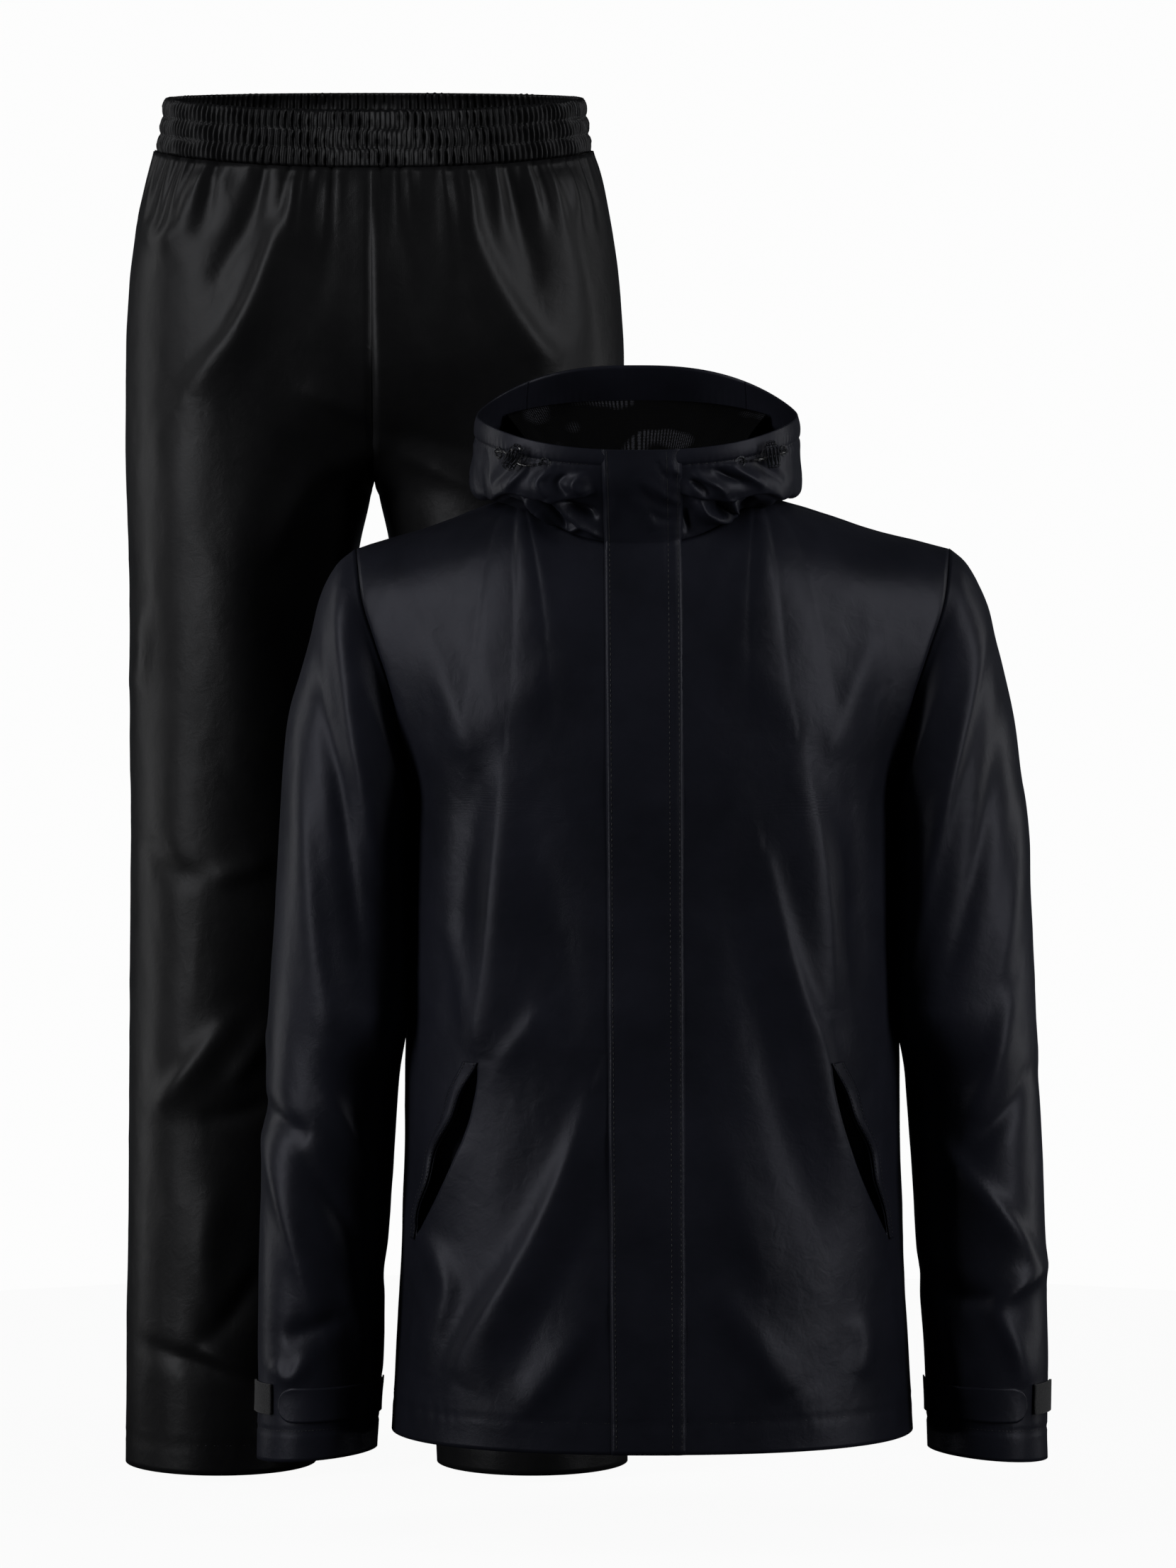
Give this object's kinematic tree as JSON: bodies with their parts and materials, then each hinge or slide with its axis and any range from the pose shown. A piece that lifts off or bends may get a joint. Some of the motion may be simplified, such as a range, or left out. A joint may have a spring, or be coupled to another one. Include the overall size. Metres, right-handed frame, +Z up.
{
  "type": "rain suit",
  "caption": "Black waterproof rain suit, filled out as if worn: a hooded jacket with storm flap and slanting pockets, and pull-on trousers with a shirred elastic waist",
  "frame": {"origin": "the middle of the jacket's shoulders, at the height of the shoulder tips, where the wearer holds it up", "axes": "+Z up, the front faces -Y, +X is the wearer's left; the trousers stand behind the jacket"},
  "size_m": [0.7297, 0.6056, 1.0925],
  "materials": {
    "jacket_cloth": "satin coated woven polyester, near black with a cool cast",
    "trouser_cloth": "satin coated woven polyester, near black",
    "mesh_cloth": "matt knitted mesh",
    "loop_tape": "matt loop pile",
    "cord": "braided elastic",
    "gloss_plastic": "gloss moulded",
    "eyelet_metal": "gunmetal plated"
  },
  "bodies": {
    "root": {"jacket_front_right": "jacket_cloth", "sleeve_right": "jacket_cloth", "pocket_welt_right": "jacket_cloth", "pocket_bag_right": "jacket_cloth", "cuff_tab_right": "jacket_cloth", "hood_right": "jacket_cloth", "cuff_loop_tape_right": "loop_tape", "cord_lock_right": "gloss_plastic", "hood_cord_inner_right": "cord", "eyelet_inner_right": "eyelet_metal", "hood_cord_outer_right": "cord", "eyelet_outer_right": "eyelet_metal", "trouser_front_right": "trouser_cloth", "trouser_back_right": "trouser_cloth", "jacket_front_left": "jacket_cloth", "sleeve_left": "jacket_cloth", "pocket_welt_left": "jacket_cloth", "pocket_bag_left": "jacket_cloth", "cuff_tab_left": "jacket_cloth", "hood_left": "jacket_cloth", "cuff_loop_tape_left": "loop_tape", "cord_lock_left": "gloss_plastic", "hood_cord_inner_left": "cord", "eyelet_inner_left": "eyelet_metal", "hood_cord_outer_left": "cord", "eyelet_outer_left": "eyelet_metal", "trouser_front_left": "trouser_cloth", "trouser_back_left": "trouser_cloth", "jacket_back": "jacket_cloth", "storm_flap": "jacket_cloth", "hood_centre": "jacket_cloth", "hood_mesh": "mesh_cloth", "waistband": "trouser_cloth"}
  },
  "joints": []
}
